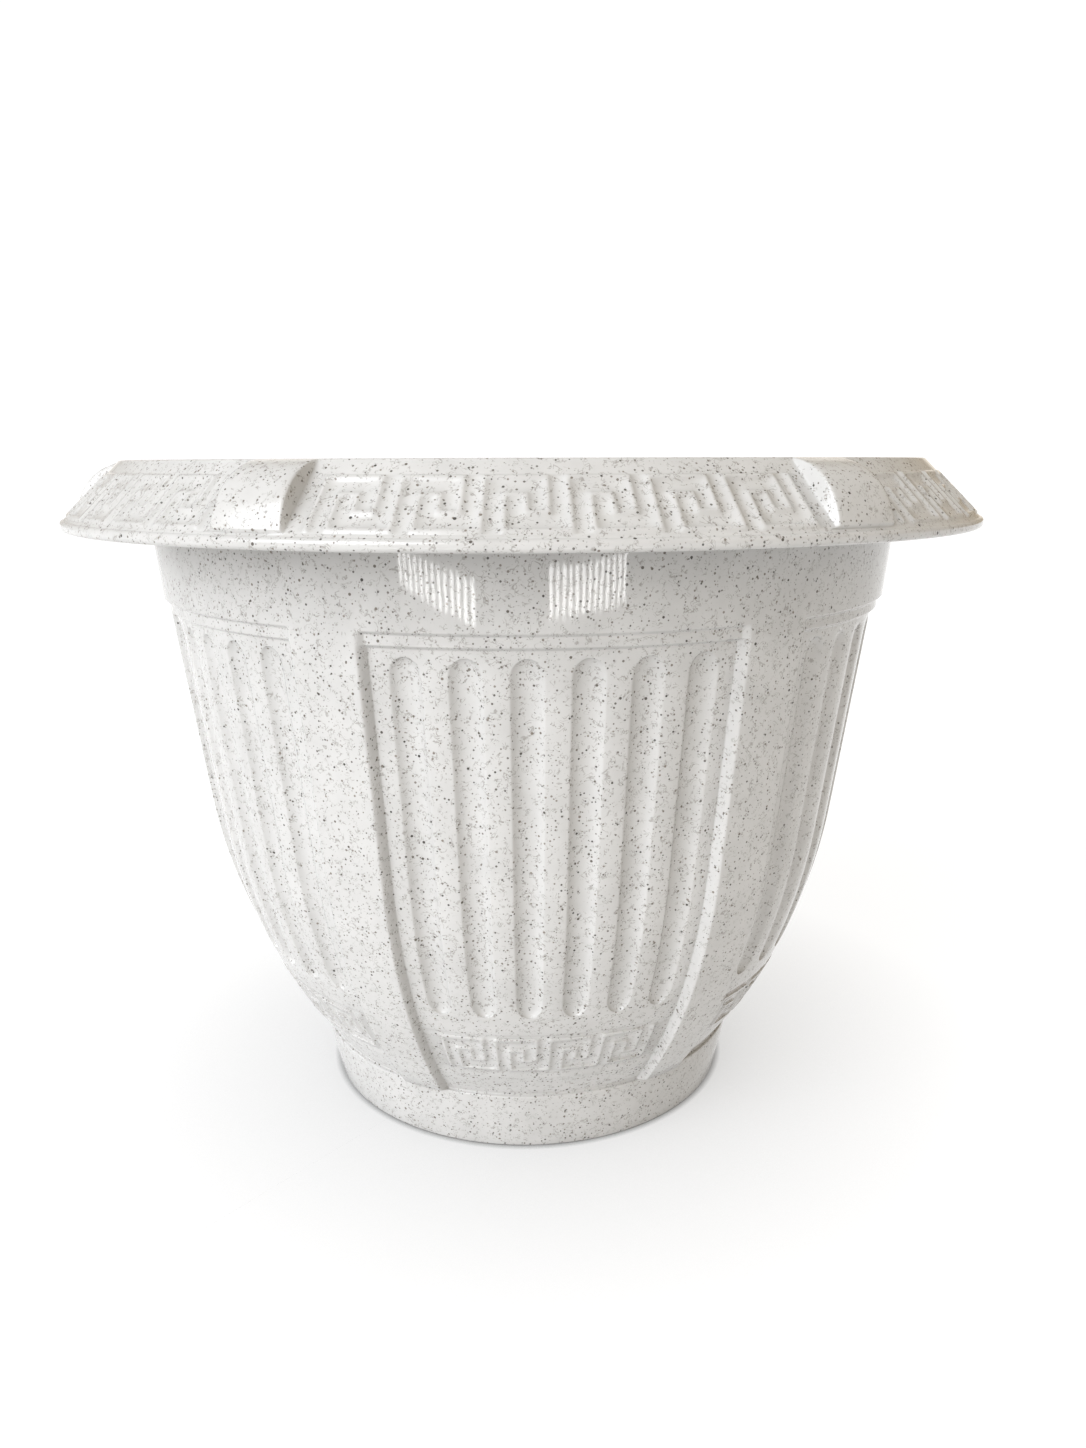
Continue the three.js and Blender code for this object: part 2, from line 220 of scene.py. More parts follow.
class Skin:
    """Rings of points round the axis and the faces between them, in millimetres."""

    def __init__(self):
        self.points = []
        self.faces = []
        self.last = None

    def add_ring(self, angles, radii, heights):
        """A ring of points at rising angles. Returns it as (first point's index, angles)."""
        turn = np.radians(angles)
        radii = np.broadcast_to(radii, turn.shape)
        heights = np.broadcast_to(heights, turn.shape)
        start = len(self.points)
        self.points += zip(radii * np.sin(turn), -radii * np.cos(turn), heights)
        return start, np.asarray(angles, float)

    def join(self, lower, upper):
        """Faces between two rings: quads where their counts match, and triangles elsewhere."""
        low, low_angles = lower
        high, high_angles = upper
        count, high_count = len(low_angles), len(high_angles)
        if count == high_count:
            for i in range(count):
                j = (i + 1) % count
                self.faces.append((low + i, low + j, high + j, high + i))
            return
        low_ends = np.append(low_angles[1:], low_angles[0] + 360)
        high_ends = np.append(high_angles[1:], high_angles[0] + 360)
        i = j = 0
        while i < count or j < high_count:
            a, b = low + i % count, high + j % high_count
            if j == high_count or (i < count and low_ends[i] <= high_ends[j]):
                self.faces.append((a, low + (i + 1) % count, b))
                i += 1
            else:
                self.faces.append((a, high + (j + 1) % high_count, b))
                j += 1

    def row(self, angles, radii, heights):
        """Adds a ring and joins it to the one before."""
        ring = self.add_ring(angles, radii, heights)
        if self.last is not None:
            self.join(self.last, ring)
        self.last = ring
        return ring

    def sector_row(self, columns, radii, heights):
        """A row given over one sector, repeated round the axis."""
        angles = np.concatenate([np.asarray(columns) + SECTOR * i for i in range(PANELS)])
        all_radii = np.tile(np.broadcast_to(radii, len(columns)), PANELS)
        all_heights = np.tile(np.broadcast_to(heights, len(columns)), PANELS)
        return self.row(angles, all_radii, all_heights)

    def plate(self, rings, holes, height, facing_up):
        """A flat face within the outer ring, less any inner ring and the holes.

        The outer ring comes first, and each hole is a list of (x, y) points. Returns the
        indices of each hole's points.
        """
        indices = []
        loops = []
        for start, angles in rings:
            loops.append(list(range(start, start + len(angles))))
        for hole in holes:
            start = len(self.points)
            self.points += [(x, y, height) for x, y in hole]
            loops.append(list(range(start, start + len(hole))))
        for loop in loops:
            indices += loop
        flat = [Vector(self.points[i][:2]) for i in indices]
        edges = []
        first = 0
        for loop in loops:
            count = len(loop)
            edges += [(first + i, first + (i + 1) % count) for i in range(count)]
            first += count
        _, _, faces, origins, _, _ = delaunay_2d_cdt(
            flat, edges, [], TRIANGLES_INSIDE, SAME_POINT
        )
        inner = [np.array([self.points[i][:2] for i in loop]) for loop in loops[1:]]
        for face in faces:
            corners = [indices[origins[i][0]] for i in face]
            middle = np.mean([self.points[i][:2] for i in corners], axis=0)
            if any(inside(middle, loop) for loop in inner):
                continue
            self.faces.append(tuple(corners if facing_up else reversed(corners)))
        return loops[len(rings):]

    def wall(self, lower, upper):
        """Faces round a hole, between two loops of point indices."""
        count = len(lower)
        for i in range(count):
            j = (i + 1) % count
            self.faces.append((lower[i], upper[i], upper[j], lower[j]))

    def mesh(self, name):
        data = bpy.data.meshes.new(name)
        data.from_pydata([tuple(c * MM for c in p) for p in self.points], [], self.faces)
        data.validate()
        data.shade_smooth()
        data.set_sharp_from_angle(angle=math.radians(CREASE_ANGLE))
        piece = bpy.data.objects.new(name, data)
        bpy.context.scene.collection.objects.link(piece)
        return piece


def inside(point, loop):
    """Whether a flat point lies within a closed loop of points."""
    x, y = loop[:, 0] - point[0], loop[:, 1] - point[1]
    x2, y2 = np.roll(x, -1), np.roll(y, -1)
    crosses = (y > 0) != (y2 > 0)
    with np.errstate(divide="ignore", invalid="ignore"):
        at = x - y * (x2 - x) / (y2 - y)
    return np.count_nonzero(crosses & (at > 0)) % 2 == 1


def polar(angle, radius):
    """The flat place at an angle round the axis and a radius from it."""
    turn = math.radians(angle)
    return radius * math.sin(turn), -radius * math.cos(turn)


def circle(radius, sides, centre=(0, 0)):
    """Points counter-clockwise round a circle, seen from above."""
    turns = [2 * math.pi * i / sides for i in range(sides)]
    return [(centre[0] + radius * math.cos(a), centre[1] + radius * math.sin(a)) for a in turns]


def both_sides(half):
    """Mirrored columns from angles in one half, without the last one, which starts the next sector."""
    half = sorted(set(half))
    columns = sorted(set([-a for a in half] + half))
    return columns[:-1]


# ---------- Key friezes ----------

# One repeat of the running key, in steps along and up.
KEY_PATH = [(0, 0), (0, 3), (3, 3), (3, 1), (2, 1), (2, 2), (1, 2), (1, 0), (4, 0)]
KEY_REPEAT = 4
KEY_ROWS = 3
KEY_EDGE = 0.55  # width of a line's sloping edge


class Frieze:
    """A running key in raised lines, centred on a panel: places in millimetres along and up."""

    def __init__(self, repeats, pitch, row_pitch, line):
        self.steps = KEY_REPEAT * repeats
        self.pitch, self.row_pitch, self.line = pitch, row_pitch, line
        self.segments = []
        for k in range(repeats):
            for (x1, y1), (x2, y2) in zip(KEY_PATH, KEY_PATH[1:]):
                self.add_line(x1 + k * KEY_REPEAT, y1, x2 + k * KEY_REPEAT, y2)
        self.add_line(self.steps, 0, self.steps, KEY_ROWS)

    def add_line(self, x1, y1, x2, y2):
        x1, x2 = sorted((x1, x2))
        y1, y2 = sorted((y1, y2))
        middle = self.steps / 2
        self.segments.append((
            (x1 - middle) * self.pitch - self.line / 2,
            (x2 - middle) * self.pitch + self.line / 2,
            y1 * self.row_pitch,
            y2 * self.row_pitch + self.line,
        ))

    def edges(self, middle):
        """Places across a line where its edges start and end."""
        half = self.line / 2
        return [middle - half, middle - half + KEY_EDGE, middle + half - KEY_EDGE, middle + half]

    def columns(self):
        middles = [(i - self.steps / 2) * self.pitch for i in range(self.steps + 1)]
        return [x for m in middles for x in self.edges(m)]

    def rows(self):
        """Places up the frieze, with one between each two lines."""
        places = []
        for j in range(KEY_ROWS + 1):
            middle = j * self.row_pitch + self.line / 2
            places += self.edges(middle)
            if j < KEY_ROWS:
                places.append(middle + self.row_pitch / 2)
        return places

    def height(self):
        return KEY_ROWS * self.row_pitch + self.line

    def relief(self, x, y):
        """Share of the relief at places x along and height y: 1 on a line and 0 off it."""
        share = np.zeros_like(x)
        for x1, x2, y1, y2 in self.segments:
            across = np.minimum(x - x1, x2 - x)
            up = min(y - y1, y2 - y)
            share = np.maximum(share, np.clip(np.minimum(across, up) / KEY_EDGE, 0, 1))
        return share


# ---------- Shell ----------

# Across a panel's sloping side: 0 at its foot, which is a crisp corner, and 1 at the pier.
# It is steeper than the solid's, as the photograph shows it.
SIDE_SOFT = 0.08
SIDE_SOFT_TOP = 0.45
SIDE_TRIM = 0.2  # how far the side's top is from the pier's edge, in degrees
SIDE_RUN = 0.68  # width of the side, in degrees
SIDE_PLACES = [-0.4, -0.08, -0.02, 0.04, 0.1, 0.5, 0.7, 0.85, 1, 1.15, 1.3, 1.45, 1.9]

# Across a flute: 0 at its middle and 1 at its edge.
FLUTE_PLACES = [0, 0.35, 0.62, 0.8, 0.92, 1, 1.08]
FLUTE_ROUNDNESS = 2.6
FLUTE_LOOK_DEPTH = 2.7  # more than the solid's FLUTE_DEPTH, as the photograph shows it
FLUTE_EDGE_SOFT = 0.08
FLUTE_NARROWEST = 0.2  # least share of the width that the columns keep at a flute's end
FLUTE_END_PLACES = [0, 0.3, 0.55, 0.75, 0.88, 0.96, 1]
FLUTE_ROWS = 16

SIDE_FOOT = PANEL_HALF - SIDE_TRIM - SIDE_RUN

BODY_FRIEZE = Frieze(repeats=4, pitch=5.35, row_pitch=7.1, line=2.3)
BODY_FRIEZE_BOTTOM = 46
BODY_FRIEZE_TOP = 67
BODY_RELIEF = 0.75
# The shallow field that the body's frieze stands in: how far it reaches past the frieze, and
# the part of that over which it falls.
BODY_FIELD_DEPTH = 0.4
BODY_FIELD_ABOVE = 2.4
BODY_FIELD_TOP_FALL = 0.8
BODY_FIELD_BELOW = 4.6
BODY_FIELD_BOTTOM_FALL = 2
BODY_FIELD_SOFT = 0.3

RIM_FRIEZE = Frieze(repeats=6, pitch=6.5, row_pitch=7.2, line=2.4)
RIM_RELIEF = 0.55
# Up the skirt, as shares of the way from the lip to the land.
SKIRT_START = 0.056
RIM_FRIEZE_START = 0.064
SKIRT_LAST_ROWS = [0.85, 0.9, 0.94, 0.965, 0.985]

# Up the side of a rim pier: millimetres from its foot, and the share of its height there.
RIM_PIER_SIDE = [
    (-2, 0),
    (-0.8, 0.012),
    (-0.25, 0.05),
    (0, 0.11),
    (0.6, 0.88),
    (0.9, 0.95),
    (1.6, 0.985),
    (3, 1),
]
RIM_PIER_TOP = [6, 8.8]  # further columns on its top, in the same millimetres
DEGREES_PER_MM = math.degrees(1 / SKIRT_RADIUS)  # round the skirt's edge
RIM_PIER_PLACES = [RIM_PIER_FOOT + x * DEGREES_PER_MM for x, _ in RIM_PIER_SIDE]

# Down each of the two steps at a panel's top: 0 where it starts and 1 where it ends.
STEP_SOFT = 0.18
STEP_DRAFT = 1.25  # height of a step's side
STEP_PLACES = [1.6, 1.35, 1.15, 1, 0.8, 0.2, 0, -0.15, -0.35, -0.7]

LEDGE_ROUND = 0.6
PIER_FOOT_ROUND = 0.8
FLOOR_RING_RADIUS = 84  # where the floor's flat plates meet the turned part
HOLE_SIDES = 40
HOLE_CHAMFER = 0.4

# The shallow channels behind the piers, and the slope inside that joins neck and bowl.
CHANNEL_HALF = PIER_ANGLE / 2 - math.degrees(WALL / BOWL_TOP_RADIUS)
CHANNEL_BOTTOM = SEAT_HEIGHT + GRID_THICKNESS + GRID_RIM_HEIGHT + 5
CHANNEL_DEPTH = PANEL_RECESS + FLUTE_DEPTH + FLUTE_WALL - WALL
CHANNEL_SIDE = 0.9
CHANNEL_SIDE_PLACES = [-1.3, -1, -0.85, -0.15, 0, 0.3]
CHANNEL_RUNOUT = 16
CHANNEL_ROWS = 18
SHOULDER_RISE = 5
SHOULDER_PLACES = [1, 0.9, 0.7, 0.4, 0.15, 0]
INSIDE_SOFT = 0.15


def pier_share(columns):
    """0 on a panel's floor and 1 on the piers."""
    return soft_ramp((np.abs(columns) - SIDE_FOOT) / SIDE_RUN, SIDE_SOFT, SIDE_SOFT_TOP)


def side_columns():
    return [SIDE_FOOT + place * SIDE_RUN for place in SIDE_PLACES]


PIER_COLUMNS = [27.2, 28.6, SECTOR / 2]  # over half a pier, in degrees
PLAIN_COLUMNS = both_sides([0, *spread(2, 22, 10), *side_columns(), *PIER_COLUMNS])
RING_COLUMNS = both_sides(spread(0, SECTOR / 2, 18))


def flute_columns(fullness):
    """Columns over a panel, drawn in towards the flutes' middles at their ends."""
    narrow = max(fullness, FLUTE_NARROWEST)
    half = [0, FLUTE_PITCH, 2 * FLUTE_PITCH]
    for j in range(FLUTES // 2):
        middle = (j + 0.5) * FLUTE_PITCH
        for u in FLUTE_PLACES:
            offset = u * narrow * FLUTE_ANGLE / 2
            half += [middle - offset, middle + offset]
    return both_sides([*half, *side_columns(), *PIER_COLUMNS])


def flute_depth(columns, fullness):
    """Depth of the flutes below the panel's floor."""
    if fullness == 0:
        return np.zeros(len(columns))
    narrow = max(fullness, FLUTE_NARROWEST)
    nearest = (np.floor(np.abs(columns) / FLUTE_PITCH) + 0.5) * FLUTE_PITCH
    nearest = np.minimum(nearest, (FLUTES / 2 - 0.5) * FLUTE_PITCH)
    u = np.abs(np.abs(columns) - nearest) / (narrow * FLUTE_ANGLE / 2)
    hollow = 1 - np.clip(u, 0, 1) ** FLUTE_ROUNDNESS
    edge = np.clip(u - (1 - FLUTE_EDGE_SOFT), 0, 2 * FLUTE_EDGE_SOFT) / (2 * FLUTE_EDGE_SOFT)
    rim = (1 - (1 - FLUTE_EDGE_SOFT) ** FLUTE_ROUNDNESS) * (1 - edge) ** 2
    return FLUTE_LOOK_DEPTH * fullness * np.where(edge > 0, rim, hollow)


def add_foot(skin):
    """The recess below the floor, the foot, and the ledge between the foot and the bowl."""
    inner = FOOT_BOTTOM_RADIUS - WALL
    straight_top = FOOT_HEIGHT - 2
    outline = rounded([
        (FLOOR_RING_RADIUS, FLOOR_HEIGHT, 0),
        (inner, FLOOR_HEIGHT, 1.2),
        (inner, 0, 0.5),
        (foot_radius(0), 0, 1.1),
        (foot_radius(straight_top), straight_top, 0),
    ])
    first = None
    for radius, height in outline:
        ring = skin.sector_row(PLAIN_COLUMNS, radius, height)
        first = first or ring
    for height in (FOOT_HEIGHT - 1.6, FOOT_HEIGHT - 0.9):
        skin.sector_row(PLAIN_COLUMNS, foot_radius(height), height)
    below = (foot_radius(0), 0)
    edge = (FOOT_TOP_RADIUS, FOOT_HEIGHT)
    pier_bottom = FOOT_HEIGHT + PIER_FOOT_SLOPE
    start = pier_bottom + 1.6
    ledge = (BOWL_BASE_RADIUS, FOOT_HEIGHT)
    on_floor = (bowl_radius(start), start)
    pier_foot = (outer_radius(pier_bottom), pier_bottom)
    on_pier = (outer_radius(start), start)
    floor_track = corner_arc(below, edge, ledge, LEDGE_ROUND, 4)
    floor_track += corner_arc(edge, ledge, on_floor, LEDGE_ROUND, 4)
    pier_track = corner_arc(below, edge, pier_foot, LEDGE_ROUND / 2, 4)
    pier_track += corner_arc(edge, pier_foot, on_pier, PIER_FOOT_ROUND, 4)
    share = pier_share(PLAIN_COLUMNS)
    for low, high in zip(floor_track, pier_track):
        radii = low[0] + (high[0] - low[0]) * share
        heights = low[1] + (high[1] - low[1]) * share
        skin.sector_row(PLAIN_COLUMNS, radii, heights)
    return first


def bowl_row(skin, columns, height, floor):
    """A row of the bowl: its panel's floor at the given radii, and its piers."""
    share = pier_share(columns)
    skin.sector_row(columns, floor + (outer_radius(height) - floor) * share, height)


def add_body_frieze(skin):
    """The lowest part of the panels, with the frieze in a shallow field of its own."""
    middle_radius = bowl_radius((BODY_FRIEZE_BOTTOM + BODY_FRIEZE_TOP) / 2)
    per_mm = math.degrees(1 / middle_radius)
    half = [x * per_mm for x in BODY_FRIEZE.columns() if x >= 0]
    columns = both_sides([*half, *side_columns(), *PIER_COLUMNS])
    along = np.array(columns) / per_mm
    stretch = (BODY_FRIEZE_TOP - BODY_FRIEZE_BOTTOM) / BODY_FRIEZE.height()
    lines = [(BODY_FRIEZE_BOTTOM + y * stretch, y) for y in BODY_FRIEZE.rows()]
    below = [(BODY_FRIEZE_BOTTOM - z, None) for z in (5.2, 4.2, 3.2, 2)]
    above = [(BODY_FRIEZE_TOP + z, None) for z in (1, 1.6, 2.1, 2.6)]
    for height, y in [*below, *lines, *above]:
        top = (BODY_FRIEZE_TOP + BODY_FIELD_ABOVE - height) / BODY_FIELD_TOP_FALL
        bottom = (height - BODY_FRIEZE_BOTTOM + BODY_FIELD_BELOW) / BODY_FIELD_BOTTOM_FALL
        field = BODY_FIELD_DEPTH * float(soft_ramp(top, BODY_FIELD_SOFT))
        field *= float(soft_ramp(bottom, BODY_FIELD_SOFT))
        relief = 0 if y is None else BODY_RELIEF * BODY_FRIEZE.relief(along, y)
        bowl_row(skin, columns, height, bowl_radius(height) - field + relief)


def add_flutes(skin):
    """The panels from the frieze up to their two steps."""
    places = reversed(FLUTE_END_PLACES)
    round_end = [(FLUTE_END * (1 - v), math.sqrt(1 - v * v)) for v in places]
    rows = [(z, 0) for z in spread(BODY_FRIEZE_TOP + 4, FLUTE_BOTTOM - 1, 2)]
    rows += [(FLUTE_BOTTOM + up, fullness) for up, fullness in round_end]
    straight = spread(FLUTE_BOTTOM + FLUTE_END, FLUTE_TOP - FLUTE_END, FLUTE_ROWS)
    rows += [(z, 1) for z in straight[1:-1]]
    rows += [(FLUTE_TOP - up, fullness) for up, fullness in reversed(round_end)]
    for height, fullness in rows:
        columns = flute_columns(fullness)
        bowl_row(skin, columns, height, bowl_radius(height) - flute_depth(columns, fullness))


def panel_depth(height):
    """Depth of a panel's floor below the piers, falling in two steps at the panel's top."""
    falls = [soft_ramp((top - height) / STEP_DRAFT, STEP_SOFT) for top in (PANEL_TOP, BOWL_TOP)]
    return PANEL_RECESS / 2 * float(sum(falls))


def add_panel_top(skin):
    """The two steps at the top of each panel."""
    for top in (BOWL_TOP, PANEL_TOP):
        for place in STEP_PLACES:
            height = top - place * STEP_DRAFT
            floor = outer_radius(height) - panel_depth(height)
            bowl_row(skin, PLAIN_COLUMNS, height, floor)


def add_neck_and_rim_underside(skin):
    """The neck, the hollow side of the skirt, and the lip with its rounded edges."""
    under_run = WALL * SKIRT_DROP / SKIRT_LENGTH
    under_drop = WALL * SKIRT_RUN / SKIRT_LENGTH
    under_top = LAND_RADIUS - under_run + (WALL - under_drop) * SKIRT_RUN / SKIRT_DROP
    under_lip = SKIRT_RADIUS - under_run
    for height in spread(PANEL_TOP + 3, RIM_UNDERSIDE - 6, 8):
        skin.sector_row(RING_COLUMNS, neck_radius(height), height)
    outline = rounded([
        (neck_radius(RIM_UNDERSIDE - 4), RIM_UNDERSIDE - 4, 0),
        (NECK_TOP_RADIUS, RIM_UNDERSIDE, 2),
        (under_top, RIM_UNDERSIDE, 1.6),
        (under_lip, LIP_TOP - under_drop, 1),
        (under_lip, LIP_BOTTOM, 0.4),
        (LIP_RADIUS, LIP_BOTTOM, 1.7),
        (LIP_RADIUS, LIP_TOP - 0.3, 1.6),
        (SKIRT_RADIUS - 0.4, LIP_TOP + 0.4, 0.8),
        (SKIRT_RADIUS - 1.1, LIP_TOP + 1.1, 0),
    ], steps=5)
    for radius, height in outline:
        skin.sector_row(RING_COLUMNS, radius, height)


def rim_pier_share(columns):
    """0 on the skirt and 1 on top of the rim piers."""
    shares = [share for _, share in RIM_PIER_SIDE]
    return np.interp(np.abs(columns), RIM_PIER_PLACES, shares)


def rim_row(skin, columns, along, out):
    """A row of the skirt, a share along it from the lip to the land, and out square to it."""
    radius = SKIRT_RADIUS - SKIRT_RUN * along + out * SKIRT_DROP / SKIRT_LENGTH
    height = LIP_TOP + SKIRT_DROP * along + out * SKIRT_RUN / SKIRT_LENGTH
    skin.sector_row(columns, radius, height)


def add_skirt(skin):
    """The skirt's top side with its piers and friezes."""
    top = [RIM_PIER_FOOT + x * DEGREES_PER_MM for x in RIM_PIER_TOP]
    pier = [*RIM_PIER_PLACES, *top, SECTOR / 2]
    frieze_per_mm = math.degrees(1 / (SKIRT_RADIUS - SKIRT_RUN / 2))
    half = [x * frieze_per_mm for x in RIM_FRIEZE.columns() if x >= 0]
    frieze = both_sides([*half, *pier])
    plain = both_sides([*spread(0, RIM_PIER_FOOT - 3, 12), *pier])
    along_mm = np.array(frieze) / frieze_per_mm
    frieze_end = RIM_FRIEZE_START + RIM_FRIEZE.height() / SKIRT_LENGTH
    rows = [(SKIRT_START, None)]
    rows += [(RIM_FRIEZE_START + y / SKIRT_LENGTH, y) for y in RIM_FRIEZE.rows()]
    rows += [(s, None) for s in (frieze_end + 0.02, *SKIRT_LAST_ROWS)]
    for along, y in rows:
        columns = plain if y is None else frieze
        bulge = RIM_PIER_BULGE * 4 * along * (1 - along) * rim_pier_share(columns)
        relief = 0 if y is None else RIM_RELIEF * RIM_FRIEZE.relief(along_mm, y)
        rim_row(skin, columns, along, bulge + relief)


def add_inside(skin):
    """The land, the mouth and the inside down to the floor."""
    mouth = NECK_TOP_RADIUS - WALL
    shoulder = PANEL_TOP + SHOULDER_RISE
    shoulder_radius = neck_radius(shoulder) - WALL
    for radius, height in rounded([
        (LAND_RADIUS + 0.2, OVERALL_HEIGHT - 0.2, 0),
        (LAND_RADIUS - 0.6, OVERALL_HEIGHT, 0),
        (mouth, OVERALL_HEIGHT, 1.8),
        (neck_radius(OVERALL_HEIGHT - 8) - WALL, OVERALL_HEIGHT - 8, 0),
    ]):
        skin.sector_row(RING_COLUMNS, radius, height)
    for height in spread(OVERALL_HEIGHT - 16, shoulder + 4, 4):
        skin.sector_row(RING_COLUMNS, neck_radius(height) - WALL, height)
    edge = SECTOR / 2 - CHANNEL_HALF
    sides = [edge + place * CHANNEL_SIDE for place in CHANNEL_SIDE_PLACES]
    columns = both_sides([*spread(0, 24, 12), *sides, edge + 1.5, SECTOR / 2])
    share = soft_ramp((np.abs(columns) - edge) / CHANNEL_SIDE + 1, INSIDE_SOFT)
    top = bowl_inside(BOWL_TOP)
    for place in SHOULDER_PLACES:
        height = BOWL_TOP + (shoulder - BOWL_TOP) * place
        panel = top + (shoulder_radius - top) * float(soft_ramp(place, INSIDE_SOFT))
        pier = max(panel, min(top + CHANNEL_DEPTH, shoulder_radius))
        skin.sector_row(columns, panel + (pier - panel) * share, height)
    heights = spread(BOWL_TOP - 5, CHANNEL_BOTTOM + 3, CHANNEL_ROWS)
    for height in [*heights, CHANNEL_BOTTOM]:
        rise = float(soft_ramp((height - CHANNEL_BOTTOM) / CHANNEL_RUNOUT, 0.2))
        radii = bowl_inside(height) + CHANNEL_DEPTH * rise * share
        skin.sector_row(columns, radii, height)
    seat_inside = bowl_inside(SEAT_HEIGHT) - SEAT_WIDTH
    outline = rounded([
        (bowl_inside(SEAT_HEIGHT + 4), SEAT_HEIGHT + 4, 0),
        (bowl_inside(SEAT_HEIGHT), SEAT_HEIGHT, 0.4),
        (seat_inside, SEAT_HEIGHT, 0.5),
        (seat_inside, FLOOR_TOP, 2),
        (FLOOR_RING_RADIUS, FLOOR_TOP, 0),
    ])
    for radius, height in outline:
        last = skin.sector_row(PLAIN_COLUMNS, radius, height)
    return last


def plug_places():
    """Where the drain holes and their plugs stand, one below each panel."""
    return [polar(SECTOR * i, PLUG_RING_RADIUS) for i in range(PANELS)]


def build_shell():
    """The whole moulding, ring by ring from below the floor, up the outside and down the inside."""
    skin = Skin()
    first = add_foot(skin)
    add_body_frieze(skin)
    add_flutes(skin)
    add_panel_top(skin)
    add_neck_and_rim_underside(skin)
    add_skirt(skin)
    last = add_inside(skin)
    wide = [circle(PLUG_HOLE_RADIUS + HOLE_CHAMFER, HOLE_SIDES, c) for c in plug_places()]
    below = skin.plate([first], wide, FLOOR_HEIGHT, facing_up=False)
    above = skin.plate([last], wide, FLOOR_TOP, facing_up=True)
    for low, high, centre in zip(below, above, plug_places()):
        loops = [low]
        for height in (FLOOR_HEIGHT + HOLE_CHAMFER, FLOOR_TOP - HOLE_CHAMFER):
            start = len(skin.points)
            skin.points += [(x, y, height) for x, y in circle(PLUG_HOLE_RADIUS, HOLE_SIDES, centre)]
            loops.append(list(range(start, start + HOLE_SIDES)))
        loops.append(high)
        for lower, upper in zip(loops, loops[1:]):
            skin.wall(lower, upper)
    return skin.mesh("moulded_shell")


# ---------- Drainage grid ----------

GRID_COLUMNS = spread(0, 360, 144)[:-1]
GRID_PLATE_MARGIN = 1.5  # from the rim and the collar to the flat plate between them


def slot_outline(ring_radius, middle_angle, half_angle):
    """A slot that follows a ring, with round ends."""
    half = SLOT_WIDTH / 2
    end = half_angle - math.degrees(half / ring_radius)
    points = []
    for side, angles in ((1, spread(-end, end, 8)), (-1, spread(end, -end, 8))):
        for a in angles:
            points.append(polar(middle_angle + a, ring_radius + side * half))
        tip = polar(middle_angle + angles[-1], ring_radius)
        heading = math.radians(middle_angle + angles[-1]) + (0 if side > 0 else math.pi)
        for turn in spread(0, math.pi, 6)[1:-1]:
            out, on = half * math.cos(turn), half * math.sin(turn)
            points.append((
                tip[0] + out * math.sin(heading) + on * math.cos(heading),
                tip[1] - out * math.cos(heading) + on * math.sin(heading),
            ))
    return points


def build_grid():
    """The round false floor with its rim, finger hole and rings of slots."""
    radius = bowl_inside(SEAT_HEIGHT) - 2 * PIECE_GAP
    bottom = SEAT_HEIGHT + PIECE_GAP
    top = bottom + GRID_THICKNESS
    rim_top = top + GRID_RIM_HEIGHT
    collar = GRIP_HOLE_RADIUS + GRIP_COLLAR_WIDTH
    rim = radius - GRID_RIM_WIDTH
    skin = Skin()
    outline = rounded([
        (rim - GRID_PLATE_MARGIN, bottom, 0),
        (radius, bottom, 0.6),
        (radius, rim_top, 0.7),
        (rim, rim_top, 0.7),
        (rim, top, 0.6),
        (rim - GRID_PLATE_MARGIN, top, 0),
    ])
    rings = [skin.row(GRID_COLUMNS, r, z) for r, z in outline]
    outer_low, outer_high = rings[0], rings[-1]
    skin.last = None
    outline = rounded([
        (collar + GRID_PLATE_MARGIN, top, 0),
        (collar, top, 0.6),
        (collar, rim_top, 0.8),
        (GRIP_HOLE_RADIUS, rim_top, 0.8),
        (GRIP_HOLE_RADIUS, bottom, 0.6),
        (collar + GRID_PLATE_MARGIN, bottom, 0),
    ])
    rings = [skin.row(GRID_COLUMNS, r, z) for r, z in outline]
    inner_high, inner_low = rings[0], rings[-1]
    pitch = (rim - collar) / (SLOT_RINGS + 0.5)
    slots = []
    for ring in range(SLOT_RINGS):
        middle = collar + pitch * (ring + 0.75)
        half = 180 / SLOTS_PER_RING - math.degrees(SLOT_BRIDGE / 2 / middle)
        for i in range(SLOTS_PER_RING):
            turn = (i + (ring % 2) / 2) * 360 / SLOTS_PER_RING
            slots.append(slot_outline(middle, turn, half))
    low = skin.plate([outer_low, inner_low], slots, bottom, facing_up=False)
    high = skin.plate([outer_high, inner_high], slots, top, facing_up=True)
    for lower, upper in zip(low, high):
        skin.wall(lower, upper)
    return skin.mesh("slotted_false_floor")


# ---------- Drain plugs ----------

PLUG_COLUMNS = spread(0, 360, 48)[:-1]
PLUG_TIP_RADIUS = 0.01  # of the tiny rings that close a plug at its axis
PLUG_DIMPLE_RADIUS = 1.6
PLUG_DIMPLE_SLOPE = 0.3
PLUG_DIMPLE_DEPTH = 0.5


